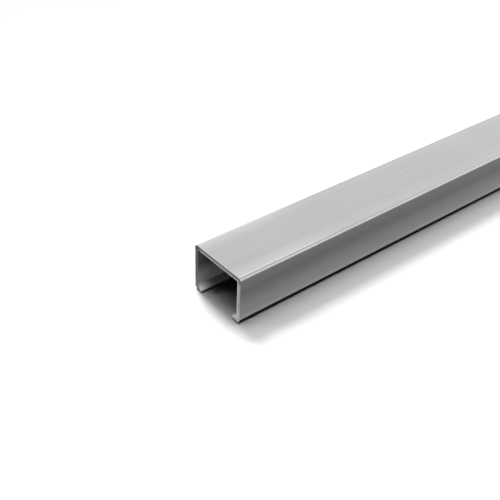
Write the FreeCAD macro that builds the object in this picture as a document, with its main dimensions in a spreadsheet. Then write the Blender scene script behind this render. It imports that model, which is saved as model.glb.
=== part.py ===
"""A length of extruded aluminium lipped channel, lying as it is stored, open side down.

The bar is one solid of one section: a flat web on top, a leg down each side and a lip turned in
at the foot of each leg. Outside corners are rounded, inside corners have a small root radius, the
free edges of the lips are eased, and both sawn ends have their sharp edges broken.

Frame: +X runs along the bar, +Y across the web, +Z up. The origin is under the middle of the bar,
on the level that the two lips rest on. All sizes are in millimetres.
"""

import FreeCAD, Part
import os

import Sketcher

FOLDER = "parts"
BODY_LABEL = "lipped_channel"

SIZES = {
    "length": 1000.0,
    "web_width": 50.0,
    "leg_height": 37.5,
    "wall": 3.0,
    "lip_width": 7.5,
    "heel_radius": 2.0,
    "root_radius": 0.8,
    "toe_radius": 0.6,
    "edge_break": 0.25,
}

CONTACT = 1e-4


def make_sheet(doc):
    """The driving sizes of the section and of the bar, one named cell each."""
    sheet = doc.addObject("Spreadsheet::Sheet", "Sizes")
    for row, (alias, size) in enumerate(SIZES.items(), start=1):
        sheet.set(f"A{row}", alias)
        sheet.set(f"B{row}", str(size))
        sheet.setAlias(f"B{row}", alias)
    doc.recompute()
    return sheet


def origin_plane(body, role):
    """The origin plane of the body that has this role."""
    return next(f for f in body.Origin.OriginFeatures if f.Role == role)


def draw_section(body):
    """The section with sharp corners, drawn once round from the middle of the web's outer face.

    Sketch x is across the web and sketch y is up from the resting level.
    """
    sketch = body.newObject("Sketcher::SketchObject", "Section")
    sketch.AttachmentSupport = [(origin_plane(body, "YZ_Plane"), "")]
    sketch.MapMode = "FlatFace"

    half = SIZES["web_width"] / 2
    height = SIZES["leg_height"]
    wall = SIZES["wall"]
    lip = SIZES["lip_width"]
    right_side = [
        (half, height),
        (half, 0),
        (half - lip, 0),
        (half - lip, wall),
        (half - wall, wall),
        (half - wall, height - wall),
    ]
    left_side = [(-x, y) for x, y in reversed(right_side)]
    corners = [FreeCAD.Vector(x, y, 0) for x, y in right_side + left_side]
    count = len(corners)
    for i, start in enumerate(corners):
        sketch.addGeometry(Part.LineSegment(start, corners[(i + 1) % count]), False)
    for i in range(count):
        sketch.addConstraint(Sketcher.Constraint("Coincident", i, 2, (i + 1) % count, 1))

    for line in range(0, count, 2):
        sketch.addConstraint(Sketcher.Constraint("Vertical", line))
    for line in range(1, count, 2):
        sketch.addConstraint(Sketcher.Constraint("Horizontal", line))

    # The same on both sides of the sketch's upright axis (-2), standing on its level axis (-1).
    sketch.addConstraint(Sketcher.Constraint("Symmetric", 2, 1, 8, 2, -2))
    sketch.addConstraint(Sketcher.Constraint("Symmetric", 4, 1, 6, 2, -2))
    sketch.addConstraint(Sketcher.Constraint("Equal", 1, 9))
    sketch.addConstraint(Sketcher.Constraint("PointOnObject", 0, 2, -1))

    sized = (
        ("web_width", Sketcher.Constraint("DistanceX", 10, 2, 0, 1, 2 * half)),
        ("leg_height", Sketcher.Constraint("DistanceY", 0, 2, 0, 1, height)),
        ("lip_width", Sketcher.Constraint("DistanceX", 1, 2, 1, 1, lip)),
        ("wall", Sketcher.Constraint("DistanceY", 2, 1, 2, 2, wall)),
        ("leg_wall", Sketcher.Constraint("DistanceX", 4, 1, 0, 2, wall)),
        ("web_wall", Sketcher.Constraint("DistanceY", 4, 2, 0, 1, wall)),
    )
    for name, constraint in sized:
        index = sketch.addConstraint(constraint)
        sketch.renameConstraint(index, name)
        cell = "wall" if name.endswith("wall") else name
        sketch.setExpression(f"Constraints.{name}", f"Sizes.{cell}")
    return sketch


def extrude(body, sketch):
    """The bar, drawn out to both sides of the sketch by half its length."""
    pad = body.newObject("PartDesign::Pad", "Extrusion")
    pad.Profile = sketch
    pad.SideType = "Symmetric"
    pad.setExpression("Length", "Sizes.length")
    sketch.Visibility = False
    return pad


def long_edges(shape, corners):
    """Names of the edges along the bar that pass through these (y, z) corners of the section."""
    names = []
    for number, edge in enumerate(shape.Edges, start=1):
        start, end = (vertex.Point for vertex in edge.Vertexes)
        if abs(start.x - end.x) < CONTACT:
            continue
        for y, z in corners:
            if abs(start.y - y) < CONTACT and abs(start.z - z) < CONTACT:
                names.append(f"Edge{number}")
    return names


def both_sides(points):
    """The points with their mirror images across the middle of the web."""
    return points + [(-y, z) for y, z in points]


def round_corners(body, base, name, size_name, corners):
    """A fillet of one named radius along the bar, at these corners on both sides."""
    fillet = body.newObject("PartDesign::Fillet", name)
    fillet.Base = (base, long_edges(base.Shape, both_sides(corners)))
    fillet.setExpression("Radius", f"Sizes.{size_name}")
    return fillet


def break_ends(body, base):
    """The sharp edges of both sawn ends taken off by a small bevel."""
    in_an_end = [
        f"Edge{number}"
        for number, edge in enumerate(base.Shape.Edges, start=1)
        if edge.BoundBox.XLength < CONTACT
    ]
    bevel = body.newObject("PartDesign::Chamfer", "EndEdgeBreak")
    bevel.Base = (base, in_an_end)
    bevel.setExpression("Size", "Sizes.edge_break")
    return bevel


def make_channel(doc):
    """The whole bar as one body."""
    body = doc.addObject("PartDesign::Body", "Channel")
    body.Label = BODY_LABEL
    section = draw_section(body)
    doc.recompute()
    bar = extrude(body, section)
    doc.recompute()

    outer = SIZES["web_width"] / 2
    inner = outer - SIZES["wall"]
    toe = outer - SIZES["lip_width"]
    top = SIZES["leg_height"]
    wall = SIZES["wall"]
    heels = [(outer, top), (outer, 0)]
    roots = [(inner, top - wall), (inner, wall)]
    toes = [(toe, 0), (toe, wall)]
    heel = round_corners(body, bar, "Heels", "heel_radius", heels)
    doc.recompute()
    root = round_corners(body, heel, "Roots", "root_radius", roots)
    doc.recompute()
    eased = round_corners(body, root, "LipToes", "toe_radius", toes)
    doc.recompute()
    body.Tip = break_ends(body, eased)
    doc.recompute()
    return body


def check(doc, body):
    """Stops the build if an object failed or the bar isn't one sound solid."""
    for item in doc.Objects:
        if {"Invalid", "Error"} & set(item.State):
            raise RuntimeError(f"{item.Label} failed: {item.State}")
    shape = body.Shape
    if shape.isNull() or not shape.isValid() or len(shape.Solids) != 1:
        raise RuntimeError("the bar isn't one valid solid")


def main():
    """Builds the bar and writes its STEP file."""
    doc = FreeCAD.newDocument("LippedChannel")
    make_sheet(doc)
    body = make_channel(doc)
    check(doc, body)
    os.makedirs(FOLDER, exist_ok=True)
    body.Shape.exportStep(os.path.join(FOLDER, f"{body.Label}.step"))
    box = body.Shape.BoundBox
    print(f"{body.Label}: {box.XLength:.2f} x {box.YLength:.2f} x {box.ZLength:.2f} mm,"
          f" {body.Shape.Volume / 1000:.2f} cm3, {len(body.Shape.Faces)} faces")


main()
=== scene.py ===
"""The looks of a length of extruded aluminium lipped channel, lying on a pale studio floor.

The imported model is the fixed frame. One new piece replaces its plain solid: the same section with
finer facets, shaded smooth, in a mill finish along the bar and a sawn finish on its two ends. All
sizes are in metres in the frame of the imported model: +X along the bar, +Y across the web, +Z up.
The near end of the bar is at -X, and its front leg is at -Y.
"""

import logging
import math
from abc import ABC, abstractmethod
from collections.abc import Callable, Iterable
from dataclasses import dataclass
from enum import Enum
from typing import ClassVar

import bmesh
import bpy
from mathutils import Matrix, Vector


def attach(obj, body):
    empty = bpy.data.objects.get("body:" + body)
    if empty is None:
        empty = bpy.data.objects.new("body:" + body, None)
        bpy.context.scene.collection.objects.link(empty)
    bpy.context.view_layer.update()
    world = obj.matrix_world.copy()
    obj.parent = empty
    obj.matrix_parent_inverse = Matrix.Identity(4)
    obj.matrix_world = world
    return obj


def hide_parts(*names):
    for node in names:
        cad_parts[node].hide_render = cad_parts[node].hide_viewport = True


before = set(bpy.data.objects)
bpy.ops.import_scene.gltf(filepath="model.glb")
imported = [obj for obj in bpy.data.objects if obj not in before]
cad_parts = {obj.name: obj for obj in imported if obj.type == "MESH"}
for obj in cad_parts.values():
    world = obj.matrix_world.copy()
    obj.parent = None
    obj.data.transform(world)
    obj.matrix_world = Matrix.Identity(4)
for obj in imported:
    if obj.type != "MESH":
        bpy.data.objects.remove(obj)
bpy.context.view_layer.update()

LOG = logging.getLogger("channel")
MM = 0.001
PHOTO_PIXELS = 500
CONTACT = 0.01 * MM

Element = bmesh.types.BMEdge | bmesh.types.BMFace
Socket = bpy.types.NodeSocket
Sockets = bpy.types.bpy_prop_collection
Value = Socket | float | tuple[float, ...]
Inputs = dict[str | int, Value]
Colour = tuple[float, float, float, float]
Point = tuple[float, float, float]


class Finish(Enum):
    """The finish of a face, by the slot it takes on the piece."""

    MILL = 0
    SAWN = 1


class Corner(Enum):
    """A kind of corner along the bar."""

    HEEL = "heel"
    ROOT = "root"
    TOE = "toe"


class Part(Enum):
    """A kind of element of a mesh, with the name of its list."""

    EDGE = "edges"
    FACE = "faces"


def take_up(piece: bpy.types.Object) -> None:
    """Selects a piece alone and makes it the active one.

    Args:
        piece: The piece.
    """
    bpy.ops.object.select_all(action="DESELECT")
    piece.select_set(True)
    bpy.context.view_layer.objects.active = piece


@dataclass
class Bench:
    """A piece on the bench, in edit mode."""

    piece: bpy.types.Object

    def __enter__(self) -> "Bench":
        """Opens the piece in edit mode.

        Returns:
            The bench.
        """
        take_up(self.piece)
        bpy.ops.object.mode_set(mode="EDIT")
        return self

    def __exit__(self, *_: object) -> None:
        """Leaves edit mode and lets go of the piece."""
        bpy.ops.object.mode_set(mode="OBJECT")
        self.piece.select_set(False)

    def pick(self, part: Part, test: Callable[[Element], bool]) -> int:
        """Selects only the edges or only the faces that pass a test.

        Args:
            part: Whether edges or faces are picked.
            test: Says whether one of them is picked.

        Returns:
            How many were picked.
        """
        bpy.ops.mesh.select_all(action="DESELECT")
        bpy.ops.mesh.select_mode(type=part.name)
        mesh = bmesh.from_edit_mesh(self.piece.data)
        mesh.normal_update()
        picked = [element for element in getattr(mesh, part.value) if test(element)]
        for element in picked:
            element.select_set(True)
        bmesh.update_edit_mesh(self.piece.data)
        return len(picked)

    def pull(self, move: Point) -> None:
        """Extrudes what is selected.

        Args:
            move: How far it is pulled along each axis.
        """
        bpy.ops.mesh.extrude_region_move(TRANSFORM_OT_translate={"value": move})

    def face_out(self) -> None:
        """Turns every face outwards."""
        bpy.ops.mesh.select_all(action="SELECT")
        bpy.ops.mesh.normals_make_consistent(inside=False)


@dataclass
class LippedChannel:
    """The bar: web, two legs and two lips of one wall, folded from a sheet and thickened.

    A face belongs to a sawn end if at least end_facing of its normal is along the bar, and to
    that end's rim if at least rim_facing of it is.
    """

    length: float = 1000.0 * MM
    web_width: float = 50.0 * MM
    leg_height: float = 37.5 * MM
    wall: float = 3.0 * MM
    lip_width: float = 7.5 * MM
    heel_radius: float = 2.0 * MM
    root_radius: float = 0.8 * MM
    toe_radius: float = 0.6 * MM
    edge_break: float = 0.25 * MM
    heel_facets: int = 16
    root_facets: int = 14
    toe_facets: int = 14
    end_facing: float = 0.99
    rim_facing: float = 0.2
    node: str = "lipped_channel"

    def build(self) -> bpy.types.Object:
        """Models the bar and dresses it.

        Returns:
            The finished piece, at the origin, riding on its body.
        """
        piece = self.lay_web()
        self.fold(piece)
        self.thicken(piece)
        self.round_corners(piece)
        self.break_ends(piece)
        self.smooth(piece)
        self.dress(piece)
        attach(piece, "root")
        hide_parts(self.node)
        return piece

    def lay_web(self) -> bpy.types.Object:
        """Lays the web's outer face as a sheet at its size and place.

        Returns:
            The new piece.
        """
        bpy.ops.object.select_all(action="DESELECT")
        bpy.ops.mesh.primitive_plane_add(size=1.0, location=(0.0, 0.0, self.leg_height))
        piece = bpy.context.object
        piece.name = piece.data.name = "channel_bar"
        piece.scale = (self.length - 2 * self.edge_break, self.web_width, 1.0)
        bpy.ops.object.transform_apply(location=True, rotation=True, scale=True)
        return piece

    def fold(self, piece: bpy.types.Object) -> None:
        """Extrudes the legs down from the web and the lips in from the legs' feet.

        Args:
            piece: The web's sheet.
        """
        half = self.web_width / 2
        with Bench(piece) as bench:
            bench.pick(Part.EDGE, lambda edge: self.along(edge, [(half, self.leg_height)]))
            bench.pull((0.0, 0.0, -self.leg_height))
            for side in (-1, 1):
                bench.pick(Part.EDGE, lambda edge, y=side * half: self.at(edge, y, 0.0))
                bench.pull((0.0, -side * self.lip_width, 0.0))
            bench.face_out()

    @staticmethod
    def at(edge: bmesh.types.BMEdge, y: float, z: float) -> bool:
        """Whether an edge runs along the bar through this point of the section."""
        ends = [vertex.co for vertex in edge.verts]
        return all(abs(end.y - y) < CONTACT and abs(end.z - z) < CONTACT for end in ends)

    def along(self, edge: bmesh.types.BMEdge, points: Iterable[tuple[float, float]]) -> bool:
        """Whether an edge runs along the bar through one of these points, on either side.

        Args:
            edge: The edge.
            points: The points (y, z) of the section, with y on the positive side.

        Returns:
            True if it does.
        """
        return any(self.at(edge, side * y, z) for y, z in points for side in (-1, 1))

    def thicken(self, piece: bpy.types.Object) -> None:
        """Gives the folded sheet its wall inwards, and makes each sawn end one face.

        Args:
            piece: The folded sheet.
        """
        wall = piece.modifiers.new("Wall", "SOLIDIFY")
        wall.thickness = self.wall
        wall.offset = -1.0
        wall.use_even_offset = True
        self.apply(piece, wall)
        with Bench(piece) as bench:
            for side in (-1, 1):
                bench.pick(Part.FACE, lambda face, x=side: face.normal.x * x > self.end_facing)
                bpy.ops.mesh.dissolve_faces()
            bench.face_out()

    @staticmethod
    def apply(piece: bpy.types.Object, modifier: bpy.types.Modifier) -> None:
        """Applies a modifier.

        Args:
            piece: The piece that it is on.
            modifier: The modifier.
        """
        take_up(piece)
        bpy.ops.object.modifier_apply(modifier=modifier.name)

    def corners(self, kind: Corner) -> tuple[list[tuple[float, float]], float, int]:
        """Where a kind of corner is, its radius and how many facets round it.

        Args:
            kind: The kind of corner.

        Returns:
            The points (y, z) on the positive side, the radius and the facets.
        """
        outer = self.web_width / 2
        inner = outer - self.wall
        toe = outer - self.lip_width
        top = self.leg_height
        heels = [(outer, top), (outer, 0.0)]
        roots = [(inner, top - self.wall), (inner, self.wall)]
        toes = [(toe, 0.0), (toe, self.wall)]
        return {
            Corner.HEEL: (heels, self.heel_radius, self.heel_facets),
            Corner.ROOT: (roots, self.root_radius, self.root_facets),
            Corner.TOE: (toes, self.toe_radius, self.toe_facets),
        }[kind]

    def round_corners(self, piece: bpy.types.Object) -> None:
        """Rounds every corner along the bar.

        Args:
            piece: The bar with sharp corners.
        """
        for kind in Corner:
            corners, radius, facets = self.corners(kind)
            with Bench(piece) as bench:
                count = bench.pick(Part.EDGE, lambda edge, at=corners: self.along(edge, at))
                bpy.ops.mesh.bevel(offset=radius, offset_type="OFFSET", segments=facets,
                                   profile=0.5, affect="EDGES", clamp_overlap=False)
            LOG.info("%s corners rounded: %d edges, %.1f mm", kind.value, count, radius / MM)

    def break_ends(self, piece: bpy.types.Object) -> None:
        """Brings both sawn ends out to the bar's full length over a rim of two small bevels.

        Args:
            piece: The bar with its long corners rounded.
        """
        outward = math.sin(math.pi / 4) * self.edge_break
        inward = (1.0 - math.cos(math.pi / 4)) * self.edge_break
        with Bench(piece) as bench:
            bench.pick(Part.FACE, lambda face: abs(face.normal.x) > self.end_facing)
            bpy.ops.mesh.inset(thickness=inward, depth=outward, use_even_offset=True)
            bpy.ops.mesh.inset(thickness=self.edge_break - inward,
                               depth=self.edge_break - outward, use_even_offset=True)

    def smooth(self, piece: bpy.types.Object) -> None:
        """Shades the rounded corners smooth while the flats stay flat.

        Args:
            piece: The bar with all its faces.
        """
        take_up(piece)
        bpy.ops.object.shade_smooth()
        weighted = piece.modifiers.new("Flats", "WEIGHTED_NORMAL")
        weighted.mode = "FACE_AREA"
        weighted.weight = 100
        self.apply(piece, weighted)

    def dress(self, piece: bpy.types.Object) -> None:
        """Puts the sawn finish on the ends and their rims, and the mill finish on the rest.

        Args:
            piece: The finished bar.
        """
        piece.data.materials.append(MillFinish().material())
        piece.data.materials.append(SawnFinish().material())
        for face in piece.data.polygons:
            end = abs(face.normal.x) > self.rim_facing
            face.material_index = (Finish.SAWN if end else Finish.MILL).value


HALF_LENGTH = LippedChannel.length / 2
HALF_WIDTH = LippedChannel.web_width / 2


@dataclass(frozen=True)
class Fade:
    """A smooth step along a measure: start at and below low, end at and above high."""

    low: float
    high: float
    start: float = 0.0
    end: float = 1.0


@dataclass
class NodeBoard:
    """A node tree on the board, with the few moves that the finishes share."""

    tree: bpy.types.NodeTree

    def node(self, kind: str, inputs: Inputs | None = None, **settings: object) -> bpy.types.Node:
        """Adds a node.

        Args:
            kind: The node's type name.
            inputs: What its inputs get, by their names or numbers.
            **settings: Properties that are set on it before that.

        Returns:
            The new node.
        """
        node = self.tree.nodes.new(kind)
        for name, setting in settings.items():
            setattr(node, name, setting)
        for name, value in (inputs or {}).items():
            self.feed(node.inputs[name], value)
        return node

    def feed(self, socket: Socket, value: Value) -> None:
        """Links a socket to another one, or sets it to a number or colour.

        Args:
            socket: The input that is fed.
            value: An output socket, a number or a tuple.
        """
        if isinstance(value, Socket):
            self.tree.links.new(value, socket)
        else:
            socket.default_value = value

    def place(self) -> Socket:
        """The place on the piece, in the piece's own frame."""
        return self.node("ShaderNodeTexCoord").outputs["Object"]

    def axes(self, place: Value) -> tuple[Socket, Socket, Socket]:
        """The three coordinates of a place."""
        split = self.node("ShaderNodeSeparateXYZ", {0: place}).outputs
        return split["X"], split["Y"], split["Z"]

    def point(self, x: Value, y: Value, z: Value = 0.0) -> Socket:
        """A place from its three coordinates."""
        return self.node("ShaderNodeCombineXYZ", {"X": x, "Y": y, "Z": z}).outputs[0]

    def calc(self, operation: str, *values: Value) -> Socket:
        """A Math node.

        Args:
            operation: The node's operation.
            *values: Its inputs in order.

        Returns:
            Its output.
        """
        inputs = dict(enumerate(values))
        return self.node("ShaderNodeMath", inputs, operation=operation).outputs[0]

    def times(self, *values: Value) -> Socket:
        """The product of two or more values.

        Args:
            *values: The values.

        Returns:
            Their product.
        """
        product, *others = values
        for value in others:
            product = self.calc("MULTIPLY", product, value)
        return product

    def off(self, value: Value, middle: Value = 0.0) -> Socket:
        """How far a value is from a middle, to either side."""
        return self.calc("ABSOLUTE", self.calc("SUBTRACT", value, middle))

    def arrow(self, operation: str, *values: Value) -> Sockets:
        """A Vector Math node.

        Args:
            operation: The node's operation.
            *values: Its inputs in order.

        Returns:
            Its outputs, Vector and Value.
        """
        inputs = dict(enumerate(values))
        return self.node("ShaderNodeVectorMath", inputs, operation=operation).outputs

    def span(self, value: Value, low: Value, high: Value, start: Value = 0.0,
             end: Value = 1.0) -> Socket:
        """A smooth step between two limits that may be sockets.

        Args:
            value: What is mapped.
            low: The value that gives the start.
            high: The value that gives the end.
            start: The result at and below low.
            end: The result at and above high.

        Returns:
            The mapped value.
        """
        inputs = {"Value": value, "From Min": low, "From Max": high, "To Min": start,
                  "To Max": end}
        node = self.node("ShaderNodeMapRange", inputs, interpolation_type="SMOOTHSTEP")
        return node.outputs["Result"]

    def fade(self, value: Value, fade: Fade) -> Socket:
        """A smooth step between two fixed limits."""
        return self.span(value, fade.low, fade.high, fade.start, fade.end)

    def noise(self, place: Value, scale: Value, detail: float = 2.0,
              roughness: float = 0.5) -> Socket:
        """A noise texture.

        Args:
            place: Where it is read.
            scale: Its scale per metre.
            detail: Its octaves.
            roughness: How strong the fine octaves are.

        Returns:
            Its value from 0 to 1, about 0.5 on average.
        """
        inputs = {"Vector": place, "Scale": scale, "Detail": detail, "Roughness": roughness}
        return self.node("ShaderNodeTexNoise", inputs).outputs["Fac"]

    def mix(self, mask: Value, off: Value, on: Value, data_type: str = "FLOAT") -> Socket:
        """A mix of two values or of two colours.

        Args:
            mask: 0 for the first of them, 1 for the second.
            off: The first of them.
            on: The second of them.
            data_type: FLOAT for values, RGBA for colours.

        Returns:
            The mix.
        """
        inputs = {"Factor": mask, "A": off, "B": on}
        return self.node("ShaderNodeMix", inputs, data_type=data_type).outputs["Result"]

    def shade(self, mask: Value, under: Value, over: Value) -> Socket:
        """One colour laid over another by a mask."""
        return self.mix(mask, under, over, "RGBA")

    def relief(self, height: Value) -> Socket:
        """The surface's normal over a relief whose height is in metres."""
        return self.node("ShaderNodeBump", {"Height": height, "Distance": 1.0}).outputs["Normal"]

    def use(self, group: "Effect", **given: Value) -> Sockets:
        """Places a shared effect.

        Args:
            group: The effect.
            **given: Its inputs, with underscores for the spaces in their names.

        Returns:
            What it gives.
        """
        inputs = {name.replace("_", " "): value for name, value in given.items()}
        return self.node("ShaderNodeGroup", inputs, node_tree=group.tree()).outputs


class Effect(ABC):
    """A shared surface effect: a shader node group, made once."""

    name: ClassVar[str]
    takes: ClassVar[dict[str, Value]]
    gives: ClassVar[tuple[str, ...]]

    def tree(self) -> bpy.types.NodeTree:
        """The node group, made at its first use.

        Returns:
            The group's node tree.
        """
        ready = bpy.data.node_groups.get(self.name)
        if ready:
            return ready
        tree = bpy.data.node_groups.new(self.name, "ShaderNodeTree")
        for name, value in self.takes.items():
            kind = "NodeSocketVector" if isinstance(value, tuple) else "NodeSocketFloat"
            socket = tree.interface.new_socket(name, in_out="INPUT", socket_type=kind)
            socket.default_value = value
        for name in self.gives:
            tree.interface.new_socket(name, in_out="OUTPUT", socket_type="NodeSocketFloat")
        board = NodeBoard(tree)
        inlet = board.node("NodeGroupInput").outputs
        board.node("NodeGroupOutput", self.wire(board, inlet))
        return tree

    @abstractmethod
    def wire(self, board: NodeBoard, inlet: Sockets) -> dict[str, Value]:
        """Wires the effect.

        Args:
            board: The group's tree on the board.
            inlet: The sockets that the effect takes.

        Returns:
            What goes to each socket that the effect gives.
        """


class ParallelLines(Effect):
    """Fine parallel lines, as a die or a saw leaves them, in two finenesses."""

    name = "Parallel lines"
    takes = {"Place": (0.0, 0.0, 0.0), "Along": 4.0, "Across": 900.0, "Fine": 5.0}
    gives = ("Height", "Streaks")
    fine_share: ClassVar[float] = 0.35
    streak_scale: ClassVar[float] = 0.22

    def wire(self, board: NodeBoard, inlet: Sockets) -> dict[str, Value]:
        """Wires coarse and fine noise drawn out along the first axis.

        Args:
            board: The group's tree on the board.
            inlet: The sockets that the effect takes.

        Returns:
            The lines' height and their broad streaks.
        """
        stretch = board.point(inlet["Along"], inlet["Across"], inlet["Across"])
        drawn = board.arrow("MULTIPLY", inlet["Place"], stretch)["Vector"]
        coarse = board.noise(drawn, scale=1.0, detail=3.0, roughness=0.6)
        fine = board.noise(drawn, inlet["Fine"])
        height = board.calc("MULTIPLY_ADD", fine, self.fine_share, coarse)
        streaks = board.noise(drawn, self.streak_scale, roughness=0.55)
        return {"Height": height, "Streaks": streaks}


class Grain(Effect):
    """The fine even grain of bare metal."""

    name = "Grain"
    takes = {"Place": (0.0, 0.0, 0.0), "Fineness": 2600.0}
    gives = ("Height", "Speckle")
    speckle_fineness: ClassVar[float] = 0.2
    sparse: ClassVar[Fade] = Fade(0.66, 0.78)

    def wire(self, board: NodeBoard, inlet: Sockets) -> dict[str, Value]:
        """Wires the grain, and the peaks of a coarser one as the speckle.

        Args:
            board: The group's tree on the board.
            inlet: The sockets that the effect takes.

        Returns:
            The grain's height and a sparse speckle mask.
        """
        grain = board.noise(inlet["Place"], inlet["Fineness"], detail=3.0, roughness=0.7)
        coarse = board.times(inlet["Fineness"], self.speckle_fineness)
        peaks = board.noise(inlet["Place"], coarse, detail=1.0)
        return {"Height": grain, "Speckle": board.fade(peaks, self.sparse)}


class Handling(Effect):
    """What handling and storing leave: cloudy patches and sparse fine scratches."""

    name = "Handling"
    takes = {"Place": (0.0, 0.0, 0.0), "Patches": 14.0, "Scratches": 60.0}
    gives = ("Cloud", "Scratch")
    slant: ClassVar[Point] = (0.12, 0.16, 0.21)
    stretch: ClassVar[Point] = (0.35, 2.4, 2.4)
    hairline: ClassVar[Fade] = Fade(0.0, 0.0045, 1.0, 0.0)
    patch_scale: ClassVar[float] = 55.0
    patchy: ClassVar[Fade] = Fade(0.56, 0.66)

    def wire(self, board: NodeBoard, inlet: Sockets) -> dict[str, Value]:
        """Wires the clouds, and the middle values of drawn-out noise as scratches in patches.

        Args:
            board: The group's tree on the board.
            inlet: The sockets that the effect takes.

        Returns:
            The cloud value and the scratch mask.
        """
        cloud = board.noise(inlet["Place"], inlet["Patches"], detail=4.0, roughness=0.55)
        slanting = {"Vector": inlet["Place"], "Rotation": self.slant, "Scale": self.stretch}
        slanted = board.node("ShaderNodeMapping", slanting).outputs[0]
        drawn = board.noise(slanted, inlet["Scratches"], detail=1.0)
        line = board.fade(board.off(drawn, 0.5), self.hairline)
        patches = board.noise(inlet["Place"], self.patch_scale, detail=1.0)
        return {"Cloud": cloud, "Scratch": board.times(line, board.fade(patches, self.patchy))}


class EdgeWearAndSheen(Effect):
    """Masks of rubbing, with painted highlights, along the bar's outer corners and round its sawn
    ends.
    """

    name = "Edge wear"
    takes = {"Place": (0.0, 0.0, 0.0), "Half Length": HALF_LENGTH, "Half Width": HALF_WIDTH,
             "Height": LippedChannel.leg_height, "Across": 5.0 * MM, "Down": 1.5 * MM,
             "Along": 1.0 * MM}
    gives = ("Corners", "Ends")
    rub_scale: ClassVar[float] = 90.0
    unevenness: ClassVar[Fade] = Fade(0.35, 0.65, 0.7, 1.0)

    def wire(self, board: NodeBoard, inlet: Sockets) -> dict[str, Value]:
        """Wires the nearness to the corners and to the ends, made uneven by noise.

        Args:
            board: The group's tree on the board.
            inlet: The sockets that the effect takes.

        Returns:
            A mask for the long corners and one for the ends.
        """
        x, y, z = board.axes(inlet["Place"])

        def near(value: Value, limit: Value, reach: str) -> Socket:
            """1 at the limit and 0 one reach below it."""
            return board.span(value, board.calc("SUBTRACT", limit, inlet[reach]), limit)

        middle = board.times(inlet["Height"], 0.5)
        side = near(board.off(y), inlet["Half Width"], "Across")
        level = near(board.off(z, middle), middle, "Down")
        end = near(board.off(x), inlet["Half Length"], "Along")
        rubbing = board.noise(inlet["Place"], self.rub_scale, detail=3.0)
        uneven = board.fade(rubbing, self.unevenness)
        return {"Corners": board.times(side, level, uneven), "Ends": board.times(end, uneven)}


class InnerRim(Effect):
    """The edges of a sawn end that face into the channel and down, deburred, where a painted
    highlight lies.
    """

    name = "Inner rim"
    takes = {"Place": (0.0, 0.0, 0.0), "Inner Side": HALF_WIDTH - LippedChannel.wall,
             "Lip Toe": HALF_WIDTH - LippedChannel.lip_width, "Lip Top": LippedChannel.wall,
             "Web Underside": LippedChannel.leg_height - LippedChannel.wall, "Width": 0.5 * MM}
    gives = ("Rim",)

    def wire(self, board: NodeBoard, inlet: Sockets) -> dict[str, Value]:
        """Wires the distance in the section's plane to the channel's inside and to its underside.

        Args:
            board: The group's tree on the board.
            inlet: The sockets that the effect takes.

        Returns:
            A mask of the rim.
        """
        _, y, z = board.axes(inlet["Place"])
        aside = board.off(y)
        into_leg = board.calc("SUBTRACT", aside, inlet["Inner Side"])
        into_web = board.calc("SUBTRACT", z, inlet["Web Underside"])
        into_lip = board.calc("SUBTRACT", inlet["Lip Top"], z)
        to_inside = board.calc("MAXIMUM", into_leg, board.calc("MAXIMUM", into_web, into_lip))
        past_toe = board.calc("SUBTRACT", aside, inlet["Lip Toe"])
        over_lip = board.calc("SUBTRACT", z, inlet["Lip Top"])
        to_slot = board.calc("MAXIMUM", past_toe, over_lip)
        nearest = board.calc("MINIMUM", board.calc("MINIMUM", to_inside, to_slot), z)
        return {"Rim": board.span(nearest, 0.0, inlet["Width"], 1.0, 0.0)}


@dataclass(frozen=True)
class MetalFinish(ABC):
    """A finish of the bare metal, made as one material."""

    name: str

    def material(self) -> bpy.types.Material:
        """Makes the material.

        Returns:
            The finished material.
        """
        material = bpy.data.materials.new(self.name)
        material.use_nodes = True
        board = NodeBoard(material.node_tree)
        self.wire(board, material.node_tree.nodes["Principled BSDF"].inputs)
        return material

    @abstractmethod
    def wire(self, board: NodeBoard, shader: Sockets) -> None:
        """Wires the finish.

        Args:
            board: The material on the board.
            shader: The shader's inputs.
        """


@dataclass(frozen=True)
class MillLimits:
    """Where the zones of the mill finish begin and end.

    The fades named aside go by the distance from the middle of the web, those named height by
    the height over the lips' underside, and those named inward by the distance in from the
    nearer sawn end. The fade of the front leg goes across the web. The painted shade up a leg
    starts at its foot, or back_leg_shade_drop lower on the back leg, and is full from
    leg_shade_top up.
    """

    leg_aside: Fade = Fade(23.0 * MM, 24.0 * MM)
    leg_height: Fade = Fade(35.85 * MM, 36.4 * MM, 1.0, 0.0)
    front_leg: Fade = Fade(-20.0 * MM, 0.0, 1.0, 0.0)
    leg_shade_top: float = 27.0 * MM
    back_leg_shade_drop: float = 25.0 * MM
    low_edge_height: Fade = Fade(2.0 * MM, 8.0 * MM, 1.0, 0.0)
    crest_aside: Fade = Fade(23.0 * MM, 23.15 * MM)
    crest_height: Fade = Fade(36.98 * MM, 37.12 * MM)
    foot_aside: Fade = Fade(22.5 * MM, 23.5 * MM)
    foot_height: Fade = Fade(2.05 * MM, 2.85 * MM, 1.0, 0.0)
    inside_aside: Fade = Fade(22.4 * MM, 23.2 * MM, 1.0, 0.0)
    inside_height: Fade = Fade(34.8 * MM, 35.4 * MM, 1.0, 0.0)
    rise_height: Fade = Fade(4.0 * MM, 24.0 * MM)
    lip_height: Fade = Fade(3.2 * MM, 4.4 * MM, 1.0, 0.0)
    border_aside: Fade = Fade(10.0 * MM, 22.0 * MM)
    border_height: Fade = Fade(35.5 * MM, 37.0 * MM)
    deep_inward: Fade = Fade(0.5 * MM, 14.0 * MM)
    wear_and_sheen_inward: Fade = Fade(50.0 * MM, 110.0 * MM, 1.0, 0.25)


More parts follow.
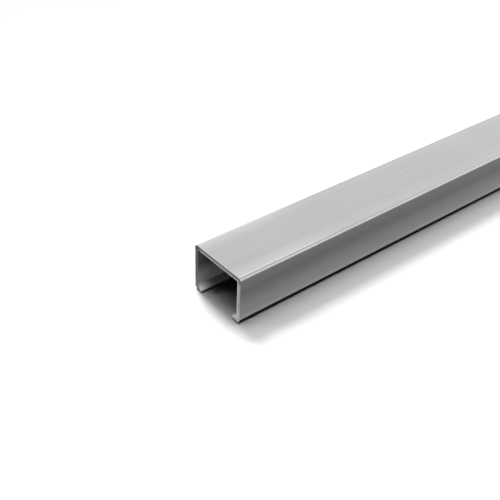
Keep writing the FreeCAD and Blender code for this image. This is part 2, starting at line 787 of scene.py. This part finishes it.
@dataclass(frozen=True)
class MillZones:
    """Masks of where the section's own shape shows in the mill finish.

    Attributes:
        leg: The legs' outer sides below the heels' curve.
        leg_shade: Painted shade up each leg, starting at its foot and full in its upper part.
        low_edge: Painted highlight along the front leg's low edge.
        crest: The top of the heels' curve, kept at the plain tone as a painted dark line between
            painted highlights.
        foot: The corner at each leg's foot, painted near black as contact shade.
        inside: The duller faces inside the channel, with painted light low down and painted shade
            under the web.
        rise: How far up the legs a place is.
        deep: How deep in from the nearer sawn end it is.
        lip: The lips, with painted light near the ends and painted shade deeper in.
        border: Painted highlight along the web's border, strongest near the ends.
        wear_and_sheen_reach: How far the rubbing and the painted highlights reach, less and less
            away from the ends.
    """

    leg: Socket
    leg_shade: Socket
    low_edge: Socket
    crest: Socket
    foot: Socket
    inside: Socket
    rise: Socket
    deep: Socket
    lip: Socket
    border: Socket
    wear_and_sheen_reach: Socket


@dataclass(frozen=True)
class MillMarks:
    """What the shared effects give to the mill finish."""

    lines: Sockets
    grain: Sockets
    handling: Sockets
    wear_and_sheen: Sockets


@dataclass(frozen=True)
class MillFinish(MetalFinish):
    """Bare extruded aluminium: die lines along the bar, clouding, scratches, rubbing on the corners,
    and painted highlights and shade.
    """

    name: str = "Mill finish aluminium"
    limits: MillLimits = MillLimits()
    dark: Colour = (0.47, 0.472, 0.478, 1.0)
    light: Colour = (0.505, 0.507, 0.513, 1.0)
    # for rubbing and for painted highlights
    wear_and_highlight: Colour = (0.78, 0.78, 0.785, 1.0)
    # painted shade up the legs
    painted_leg_shade: Colour = (0.09, 0.092, 0.096, 1.0)
    # painted light low inside the channel
    inside_low_light: Colour = (0.80, 0.80, 0.805, 1.0)
    # painted shade up inside the channel and deep under the web
    inside_high_shade: Colour = (0.22, 0.22, 0.223, 1.0)
    inside_deep_shade: Colour = (0.04, 0.04, 0.041, 1.0)
    # painted light on the lips near the ends, painted shade deeper in
    lip_end_light: Colour = (0.95, 0.95, 0.95, 1.0)
    lip_deep_shade: Colour = (0.28, 0.28, 0.283, 1.0)
    # painted contact shade along the feet
    painted_contact_shade: Colour = (0.01, 0.01, 0.01, 1.0)
    tones: Fade = Fade(0.34, 0.66)
    streak_tone: float = 0.55
    cloud_tone: float = 0.45
    # painted highlight on the web's border
    border_sheen: float = 0.28
    scratch_wear: float = 0.2
    # rubbing and painted highlights on the heels
    corner_wear_and_sheen: float = 0.8
    corner_reach: float = 3.5 * MM
    # the crest keeps the plain tone as a painted dark line
    crest_cover: float = 0.9
    # rubbing and a painted highlight at the sawn edges of the top
    end_wear_and_sheen: float = 0.7
    leg_shade_cover: float = 0.92
    # painted highlight along the front leg's low edge
    low_edge_highlight: float = 0.7
    film: float = 0.5
    specular: float = 0.1
    roughness: Fade = Fade(0.3, 0.7, 0.15, 0.20)
    cloud_dulling: float = 0.7
    streak_dulling: float = 0.3
    end_dulling: float = 0.35
    leg_roughness: float = 0.35
    inside_roughness: float = 0.65
    lip_roughness: float = 0.95
    line_depth: float = 0.0025 * MM
    grain_depth: float = 0.002 * MM
    scratch_depth: float = 0.002 * MM

    def wire(self, board: NodeBoard, shader: Sockets) -> None:
        """Wires the finish.

        Args:
            board: The material on the board.
            shader: The shader's inputs.
        """
        place = board.place()
        zones = self.zones(board, place)
        # the rubbing and painted highlights on the corners reach less far away from the ends
        reach = board.times(zones.wear_and_sheen_reach, self.corner_reach)
        marks = MillMarks(
            lines=board.use(ParallelLines(), Place=place, Along=2.5, Across=850.0, Fine=4.0),
            grain=board.use(Grain(), Place=place, Fineness=2400.0),
            handling=board.use(Handling(), Place=place, Patches=16.0, Scratches=70.0),
            wear_and_sheen=board.use(EdgeWearAndSheen(), Place=place, Half_Width=24.0 * MM, Across=reach,
                           Down=4.0 * MM, Along=1.8 * MM))
        board.feed(shader["Base Color"], self.colour(board, marks, zones))
        board.feed(shader["Metallic"], self.bareness(board, zones))
        board.feed(shader["Roughness"], self.dullness(board, marks, zones))
        board.feed(shader["Specular IOR Level"], self.specular)
        board.feed(shader["Normal"], self.normal(board, marks))

    def zones(self, board: NodeBoard, place: Socket) -> MillZones:
        """Masks the zones by their place on the section and along the bar.

        Args:
            board: The material on the board.
            place: The place in the frame of the bar.

        Returns:
            The masks.
        """
        limits = self.limits
        x, y, z = board.axes(place)
        aside = board.off(y)
        inward = board.calc("SUBTRACT", HALF_LENGTH, board.off(x))

        def zone(by_side: Fade, by_height: Fade) -> Socket:
            """A zone of the section, by the distance from the middle and by the height."""
            return board.times(board.fade(aside, by_side), board.fade(z, by_height))

        leg = zone(limits.leg_aside, limits.leg_height)
        front = board.fade(y, limits.front_leg)
        drop = limits.back_leg_shade_drop
        leg_shade_start = board.calc("MULTIPLY_ADD", front, drop, -drop)
        inside = zone(limits.inside_aside, limits.inside_height)
        wear_and_sheen_reach = board.fade(inward, limits.wear_and_sheen_inward)
        return MillZones(
            leg=leg,
            leg_shade=board.times(leg, board.span(z, leg_shade_start, limits.leg_shade_top)),
            low_edge=board.times(leg, board.fade(z, limits.low_edge_height), front),
            crest=zone(limits.crest_aside, limits.crest_height),
            foot=zone(limits.foot_aside, limits.foot_height),
            inside=inside,
            rise=board.fade(z, limits.rise_height),
            deep=board.fade(inward, limits.deep_inward),
            lip=board.times(inside, board.fade(z, limits.lip_height)),
            border=board.times(zone(limits.border_aside, limits.border_height), wear_and_sheen_reach),
            wear_and_sheen_reach=wear_and_sheen_reach)

    def colour(self, board: NodeBoard, marks: MillMarks, zones: MillZones) -> Socket:
        """Lays scratches, rubbing, painted highlights, painted shade and painted contact shade over
        the metal's tone.

        Args:
            board: The material on the board.
            marks: What the shared effects give.
            zones: The masks of the zones.

        Returns:
            The colour.
        """
        tone = board.calc("ADD", board.times(marks.lines["Streaks"], self.streak_tone),
                          board.times(marks.handling["Cloud"], self.cloud_tone))
        metal = board.shade(board.fade(tone, self.tones), self.dark, self.light)
        end_wear_and_sheen = board.calc("MULTIPLY_ADD", zones.leg, -self.end_wear_and_sheen, self.end_wear_and_sheen)
        for mask, strength, over in (
                # painted highlight on the web's border
                (zones.border, self.border_sheen, self.wear_and_highlight),
                (marks.handling["Scratch"], self.scratch_wear, self.wear_and_highlight),
                # rubbing on the corners, with painted highlights on the heels
                (marks.wear_and_sheen["Corners"], self.corner_wear_and_sheen, self.wear_and_highlight),
                # the crest as a painted dark line between the painted highlights
                (zones.crest, self.crest_cover, self.light),
                # rubbing at the ends, with a painted highlight at the top's sawn edge
                (marks.wear_and_sheen["Ends"], end_wear_and_sheen, self.wear_and_highlight),
                # painted shade up the legs
                (zones.leg_shade, self.leg_shade_cover, self.painted_leg_shade),
                # painted highlight along the front leg's low edge
                (zones.low_edge, self.low_edge_highlight, self.wear_and_highlight)):
            metal = board.shade(board.times(mask, strength), metal, over)
        # painted shade inside: lighter low down, darker up and deeper under the web
        under_web_shade = board.shade(zones.deep, self.inside_high_shade, self.inside_deep_shade)
        painted_shade = board.shade(zones.rise, self.inside_low_light, under_web_shade)
        # painted light on the lips near the ends, painted shade deeper in
        lip = board.shade(zones.deep, self.lip_end_light, self.lip_deep_shade)
        metal = board.shade(zones.inside, metal, painted_shade)
        metal = board.shade(zones.lip, metal, lip)
        # painted contact shade along the feet
        return board.shade(zones.foot, metal, self.painted_contact_shade)

    def bareness(self, board: NodeBoard, zones: MillZones) -> Socket:
        """How far the metal is bare of the film inside the channel and at the painted contact shade
        along the feet.

        Args:
            board: The material on the board.
            zones: The masks of the zones.

        Returns:
            1 for bare metal, 0 for metal that is covered.
        """
        bare = board.calc("MULTIPLY_ADD", zones.inside, -self.film, 1.0)
        bare = board.span(zones.lip, 0.0, 1.0, bare, 1.0)
        return board.times(bare, board.calc("SUBTRACT", 1.0, zones.foot))

    def dullness(self, board: NodeBoard, marks: MillMarks, zones: MillZones) -> Socket:
        """Dulls the metal by its clouds and streaks, at the ends, and zone by zone.

        Args:
            board: The material on the board.
            marks: What the shared effects give.
            zones: The masks of the zones.

        Returns:
            The roughness.
        """
        dull = board.calc("ADD", board.times(marks.handling["Cloud"], self.cloud_dulling),
                          board.times(marks.lines["Streaks"], self.streak_dulling))
        rough = board.fade(dull, self.roughness)
        rough = board.calc("MULTIPLY_ADD", marks.wear_and_sheen["Ends"], self.end_dulling, rough)
        for mask, roughness in ((zones.leg, self.leg_roughness),
                                (zones.inside, self.inside_roughness),
                                (zones.lip, self.lip_roughness)):
            rough = board.span(mask, 0.0, 1.0, rough, roughness)
        return rough

    def normal(self, board: NodeBoard, marks: MillMarks) -> Socket:
        """Raises the die lines and the grain, and cuts the scratches in.

        Args:
            board: The material on the board.
            marks: What the shared effects give.

        Returns:
            The normal.
        """
        height = board.times(marks.lines["Height"], self.line_depth)
        for mark, depth in ((marks.grain["Height"], self.grain_depth),
                            (marks.handling["Scratch"], -self.scratch_depth)):
            height = board.calc("MULTIPLY_ADD", mark, depth, height)
        return board.relief(height)


@dataclass(frozen=True)
class SawnFinish(MetalFinish):
    """Aluminium cut off by a circular saw: shallow arcs, with a painted highlight on the deburred
    inner rim.

    The front leg's end carries a painted highlight towards its foot. The web's end is darker, and
    the back leg's end carries painted shade, darkest above its foot.
    """

    name: str = "Sawn aluminium"
    dark: Colour = (0.22, 0.22, 0.224, 1.0)
    light: Colour = (0.32, 0.32, 0.323, 1.0)
    # darker on the web's end, painted shade on the back leg's end
    darker_end_tone: Colour = (0.125, 0.125, 0.127, 1.0)
    # painted shade on the back leg's end above its foot
    shaded: Colour = (0.06, 0.06, 0.061, 1.0)
    # for painted highlights on the rim and towards the foot
    wear_and_highlight: Colour = (0.80, 0.80, 0.80, 1.0)
    blade_centre: Point = (0.0, -70.0 * MM, 150.0 * MM)
    web_height: Fade = Fade(31.0 * MM, 35.0 * MM)
    back_leg: Fade = Fade(16.0 * MM, 22.0 * MM)
    shade_height: Fade = Fade(2.0 * MM, 14.0 * MM)
    # painted highlight towards the foot
    foot_height: Fade = Fade(2.0 * MM, 16.0 * MM, 0.5, 0.0)
    tones: Fade = Fade(0.35, 0.95)
    speckle_tone: float = 0.4
    rim_width: float = 1.0 * MM
    # painted highlight on the inner rim
    rim_highlight: float = 0.95
    back_rim_loss: float = 0.85
    roughness: Fade = Fade(0.3, 0.7, 0.50, 0.64)
    mark_depth: float = 0.012 * MM
    grain_depth: float = 0.003 * MM

    def wire(self, board: NodeBoard, shader: Sockets) -> None:
        """Wires the finish.

        Args:
            board: The material on the board.
            shader: The shader's inputs.
        """
        place = board.place()
        arcs = self.arcs(board, place)
        grain = board.use(Grain(), Place=place, Fineness=3200.0)
        height = board.calc("MULTIPLY_ADD", grain["Height"], self.grain_depth,
                            board.times(arcs["Height"], self.mark_depth))
        board.feed(shader["Base Color"], self.colour(board, place, arcs, grain))
        board.feed(shader["Metallic"], 1.0)
        board.feed(shader["Roughness"], board.fade(arcs["Streaks"], self.roughness))
        board.feed(shader["Normal"], board.relief(height))

    def arcs(self, board: NodeBoard, place: Socket) -> Sockets:
        """Draws the blade's marks as lines that run round its centre.

        Args:
            board: The material on the board.
            place: The place in the frame of the bar.

        Returns:
            The marks' height and their broad streaks.
        """
        from_centre = board.arrow("SUBTRACT", place, self.blade_centre)["Vector"]
        _, y, z = board.axes(from_centre)
        squares = board.calc("ADD", board.times(y, y), board.times(z, z))
        round_blade = board.point(board.calc("ARCTAN2", z, y), board.calc("SQRT", squares))
        return board.use(ParallelLines(), Place=round_blade, Along=1.5, Across=1600.0, Fine=3.0)

    def colour(self, board: NodeBoard, place: Socket, arcs: Sockets, grain: Sockets) -> Socket:
        """Lays the speckle, the darker tone, the painted shade and the painted highlights over the
        saw's marks.

        Args:
            board: The material on the board.
            place: The place in the frame of the bar.
            arcs: The saw's marks.
            grain: The metal's grain.

        Returns:
            The colour.
        """
        _, y, z = board.axes(place)
        back = board.fade(y, self.back_leg)
        # darker on the web's end, painted shade on the back leg's end
        darker_end = board.calc("MAXIMUM", board.fade(z, self.web_height), back)
        # painted shade above the back leg's foot
        painted_shade = board.times(back, board.fade(z, self.shade_height))
        rim = board.use(InnerRim(), Place=place, Width=self.rim_width)["Rim"]
        # painted highlight on the inner rim, fainter on the back leg
        rim_highlight = board.calc("MULTIPLY_ADD", back, -self.back_rim_loss, self.rim_highlight)
        metal = board.shade(board.fade(arcs["Height"], self.tones), self.dark, self.light)
        for mask, over in ((board.times(grain["Speckle"], self.speckle_tone), self.light),
                           # painted highlight towards the foot
                           (board.fade(z, self.foot_height), self.wear_and_highlight),
                           (darker_end, self.darker_end_tone),
                           (painted_shade, self.shaded),
                           # painted highlight on the inner rim
                           (board.times(rim, rim_highlight), self.wear_and_highlight)):
            metal = board.shade(mask, metal, over)
        return metal


@dataclass(frozen=True)
class Softbox:
    """A rectangular soft light, aimed near the bar's near end and not mirrored in the metal."""

    name: str
    size: tuple[float, float]
    power: float
    place: Point
    aim: Point = (-0.35, 0.0, 0.0)

    def hang(self) -> bpy.types.Object:
        """Hangs the light.

        Returns:
            The light.
        """
        data = bpy.data.lights.new(self.name, "AREA")
        data.shape = "RECTANGLE"
        data.size, data.size_y = self.size
        data.energy = self.power
        lamp = bpy.data.objects.new(self.name, data)
        bpy.context.collection.objects.link(lamp)
        lamp.location = self.place
        toward = Vector(self.aim) - Vector(self.place)
        lamp.rotation_euler = toward.to_track_quat("-Z", "Y").to_euler()
        lamp.visible_glossy = False
        return lamp


@dataclass
class Studio:
    """A plain white studio: a floor that fades into the background, a soft sky and three lamps.

    Shots of bare metal need a bright room for the metal to mirror. So what is seen in the gloss
    is a white room with a darker ceiling, and what lights the floor is a sky that is bright
    behind the bar and dim in front. On the floor, the fades named aside go by the distance from
    the bar's middle line, and those named inward by the distance in from its nearer end.
    """

    floor_size: float = 16.0
    floor_drop: float = 1.2 * MM
    floor_plain: Colour = (0.6, 0.6, 0.6, 1.0)
    floor_seen: Colour = (1.12, 1.12, 1.12, 1.0)
    # painted shade on the floor under the bar
    floor_under_shade: Colour = (0.15, 0.15, 0.15, 1.0)
    floor_fade: Fade = Fade(0.15, 0.60)
    bar_aside: Fade = Fade(23.0 * MM, 25.0 * MM, 1.0, 0.0)
    bar_inward: Fade = Fade(0.0, 20.0 * MM)
    lip_aside: Fade = Fade(16.0 * MM, 17.5 * MM)
    lip_inward: Fade = Fade(-0.5 * MM, 0.5 * MM)
    bright_side: Point = (0.66, 0.58, 0.47)
    sky: Fade = Fade(0.55, 0.95, 0.015, 1.08)
    walls: Fade = Fade(-0.6, 0.8, 0.65, 1.10)
    ceiling: Fade = Fade(0.62, 0.80, 1.0, 0.75)
    key: Softbox = Softbox("key", (0.8, 0.8), 44.0, (-0.12, 1.28, 1.86))
    fill: Softbox = Softbox("fill", (1.3, 1.3), 17.0, (-0.3, 0.05, 2.0))
    low: Softbox = Softbox("low", (0.5, 0.4), 9.5, (-2.03, 1.29, 0.6))

    def build(self) -> None:
        """Lays the floor and sets the lights."""
        self.lay_floor()
        self.light_sky()
        for softbox in (self.key, self.fill, self.low):
            softbox.hang()

    @staticmethod
    def straight(board: NodeBoard) -> Socket:
        """A mask of the camera's own rays."""
        return board.node("ShaderNodeLightPath").outputs["Is Camera Ray"]

    @staticmethod
    def mirrored(board: NodeBoard) -> Socket:
        """A mask of the rays that see the room in glossy or clear pieces.

        Args:
            board: The material or world on the board.

        Returns:
            1 for glossy and transmission rays that met no matt surface on their way, else 0.
        """
        rays = board.node("ShaderNodeLightPath").outputs
        shiny = board.calc("MAXIMUM", rays["Is Glossy Ray"], rays["Is Transmission Ray"])
        return board.times(shiny, board.calc("LESS_THAN", rays["Diffuse Depth"], 0.5))

    def lay_floor(self) -> bpy.types.Object:
        """Lays the floor, which is shown whiter than it lights the bar, with painted shade under the
        bar, and white far from it.

        Returns:
            The floor.
        """
        bpy.ops.object.select_all(action="DESELECT")
        bpy.ops.mesh.primitive_plane_add(size=self.floor_size,
                                         location=(0.0, 0.0, -self.floor_drop))
        floor = bpy.context.object
        floor.name = "studio_floor"
        material = bpy.data.materials.new("Pale floor")
        material.use_nodes = True
        board = NodeBoard(material.node_tree)
        board.tree.nodes.remove(board.tree.nodes["Principled BSDF"])
        x, y, _ = board.axes(board.place())
        inward = board.calc("SUBTRACT", HALF_LENGTH, board.off(x))
        seen = board.calc("MAXIMUM", self.straight(board), self.mirrored(board))
        # painted shade under the bar and its lips
        shown = board.shade(self.under_bar(board, inward, y), self.floor_seen, self.floor_under_shade)
        colour = board.shade(seen, self.floor_plain, shown)
        matt = board.node("ShaderNodeBsdfDiffuse", {"Color": colour}).outputs[0]
        white = board.node("ShaderNodeEmission").outputs[0]
        gone = board.times(seen, self.far_off(board, inward, y))
        blend = board.node("ShaderNodeMixShader", {0: gone, 1: matt, 2: white}).outputs[0]
        board.feed(board.tree.nodes["Material Output"].inputs["Surface"], blend)
        floor.data.materials.append(material)
        return floor

    def under_bar(self, board: NodeBoard, inward: Socket, y: Socket) -> Socket:
        """How far a place on the floor lies in the painted shade under the bar.

        Args:
            board: The floor's material on the board.
            inward: How far in from the bar's nearer end the place is.
            y: How far across the bar it is.

        Returns:
            0 in the open and between the lips at the bar's mouths, 1 well inside and right
            under the lips.
        """
        aside = board.off(y)
        under_lip = board.times(board.fade(aside, self.lip_aside),
                                board.fade(inward, self.lip_inward))
        # painted shade well inside the bar and right under its lips
        shaded = board.calc("MAXIMUM", board.fade(inward, self.bar_inward), under_lip)
        return board.times(board.fade(aside, self.bar_aside), shaded)

    def far_off(self, board: NodeBoard, inward: Socket, y: Socket) -> Socket:
        """How far the floor has faded into the background.

        Args:
            board: The floor's material on the board.
            inward: How far in from the bar's nearer end the place is.
            y: How far across the bar it is.

        Returns:
            0 near the bar and 1 far off.
        """
        past_end = board.calc("MINIMUM", inward, 0.0)
        squares = board.calc("MULTIPLY_ADD", y, y, board.times(past_end, past_end))
        return board.fade(board.calc("SQRT", squares), self.floor_fade)

    def light_sky(self) -> None:
        """Sets the sky that lights the floor, and the room that is mirrored in its place."""
        world = bpy.data.worlds.new("Soft studio")
        bpy.context.scene.world = world
        world.use_nodes = True
        board = NodeBoard(world.node_tree)
        background = world.node_tree.nodes["Background"].inputs
        background["Color"].default_value = (1.0, 1.0, 1.0, 1.0)
        toward = board.node("ShaderNodeTexCoord").outputs["Generated"]
        _, _, up = board.axes(toward)
        bright_side = Vector(self.bright_side).normalized().to_tuple()
        facing = board.arrow("DOT_PRODUCT", toward, bright_side)["Value"]
        room = board.times(board.fade(facing, self.walls), board.fade(up, self.ceiling))
        sky = board.fade(facing, self.sky)
        lighting = board.mix(self.mirrored(board), sky, room)
        board.feed(background["Strength"], board.mix(self.straight(board), lighting, 1.0))


@dataclass
class PhotoCamera:
    """The camera where the photograph was taken from, found from the section's own corners."""

    focal_pixels: float = 819.49
    place: Point = (-0.770732, -0.346206, 0.368398)
    azimuth: float = -40.8592
    elevation: float = 36.1032
    roll: float = 2.4621
    sensor: float = 36.0
    clip: tuple[float, float] = (0.02, 50.0)

    def build(self) -> bpy.types.Object:
        """Sets the scene's camera.

        Returns:
            The camera.
        """
        data = bpy.data.cameras.new("Camera")
        data.sensor_width = self.sensor
        data.lens = self.focal_pixels * self.sensor / PHOTO_PIXELS
        data.clip_start, data.clip_end = self.clip
        camera = bpy.data.objects.new("Camera", data)
        bpy.context.collection.objects.link(camera)
        around, above = math.radians(self.azimuth), math.radians(self.elevation)
        back = Vector((math.sin(around) * math.cos(above), -math.cos(around) * math.cos(above),
                       math.sin(above)))
        right = Vector((0.0, 0.0, 1.0)).cross(back).normalized()
        up = back.cross(right)
        turn = Matrix((right, up, back)).transposed()
        roll = Matrix.Rotation(math.radians(self.roll), 3, "Z")
        camera.matrix_world = Matrix.Translation(self.place) @ (turn @ roll).to_4x4()
        bpy.context.scene.camera = camera
        return camera


def set_view() -> None:
    """Shows colours as they are written."""
    bpy.context.scene.view_settings.view_transform = "Standard"


def main() -> None:
    """Builds the bar, the studio and the camera."""
    logging.basicConfig(level=logging.INFO, format="%(name)s: %(message)s")
    set_view()
    piece = LippedChannel().build()
    LOG.info("%s: %d faces", piece.name, len(piece.data.polygons))
    Studio().build()
    PhotoCamera().build()


if __name__ == "__main__":
    main()
